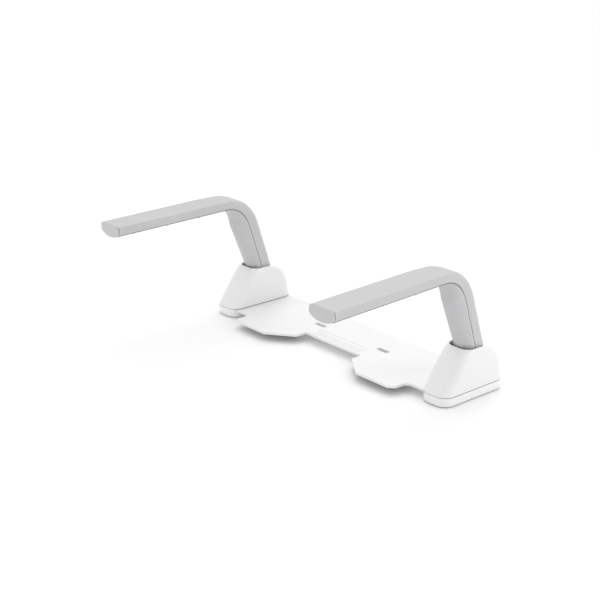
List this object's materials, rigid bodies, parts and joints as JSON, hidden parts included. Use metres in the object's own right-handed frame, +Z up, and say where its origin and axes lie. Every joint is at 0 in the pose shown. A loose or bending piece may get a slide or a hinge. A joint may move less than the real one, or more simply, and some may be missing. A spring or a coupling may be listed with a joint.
{
  "type": "fold-up toilet support arms on a seat-bolt plate",
  "caption": "Fold-up toilet support armrests on a white plate clamped by the seat hinge bolts; grey arms lift up and back on pinned housings.",
  "frame": {"origin": "midway between the centres of the two seat-bolt slots, on the plate's top face", "axes": "+Z up, -Y forward (the way the armrests point), +X to the seated user's left"},
  "size_m": [0.5762, 0.3687, 0.2176],
  "materials": {
    "coated_steel": "satin white powder coat with a fine texture",
    "white_plastic": "satin moulded white",
    "arm_top_plastic": "satin light grey moulding",
    "arm_under_plastic": "satin mid grey moulding",
    "end_cap_plastic": "satin mid grey moulding",
    "black_steel": "satin black electro-coat",
    "cast_alloy": "as-cast, machined at the eye",
    "pin_steel": "ground",
    "spring_steel": "dark phosphated spring steel",
    "screw_steel": "zinc plated",
    "bush_plastic": "self-lubricating bearing plastic",
    "pad_rubber": "matt, finely textured",
    "stop_rubber": "matt"
  },
  "bodies": {
    "base": {"base_plate": "coated_steel", "rear_pad": "pad_rubber", "left_lobe_pad": "pad_rubber", "left_housing_cover": "white_plastic", "left_housing_tray": "white_plastic", "left_foot_pads": "pad_rubber", "left_cover_screws": "screw_steel", "left_hinge_bracket": "black_steel", "left_bracket_screws": "screw_steel", "left_bracket_nuts": "screw_steel", "left_down_stop": "stop_rubber", "left_up_stop": "stop_rubber", "left_pivot_pin": "pin_steel", "left_circlips": "spring_steel", "left_friction_washers": "spring_steel", "right_lobe_pad": "pad_rubber", "right_housing_cover": "white_plastic", "right_housing_tray": "white_plastic", "right_foot_pads": "pad_rubber", "right_cover_screws": "screw_steel", "right_hinge_bracket": "black_steel", "right_bracket_screws": "screw_steel", "right_bracket_nuts": "screw_steel", "right_down_stop": "stop_rubber", "right_up_stop": "stop_rubber", "right_pivot_pin": "pin_steel", "right_circlips": "spring_steel", "right_friction_washers": "spring_steel"},
    "left_arm": {"left_pivot_bushes": "bush_plastic", "left_arm_knuckle": "cast_alloy", "left_arm_tube": "black_steel", "left_upper_shell": "arm_top_plastic", "left_lower_shell": "arm_under_plastic", "left_shell_screws": "screw_steel", "left_end_cap": "end_cap_plastic"},
    "right_arm": {"right_pivot_bushes": "bush_plastic", "right_arm_knuckle": "cast_alloy", "right_arm_tube": "black_steel", "right_upper_shell": "arm_top_plastic", "right_lower_shell": "arm_under_plastic", "right_shell_screws": "screw_steel", "right_end_cap": "end_cap_plastic"}
  },
  "joints": [
    {"name": "left_arm_fold", "type": "hinge", "parent": "base", "child": "left_arm", "pos_m": [0.257, 0.017, 0.022], "axis": [-1, 0, 0], "range_deg": [0, 75]},
    {"name": "right_arm_fold", "type": "hinge", "parent": "base", "child": "right_arm", "pos_m": [-0.257, 0.017, 0.022], "axis": [-1, 0, 0], "range_deg": [0, 75]}
  ]
}
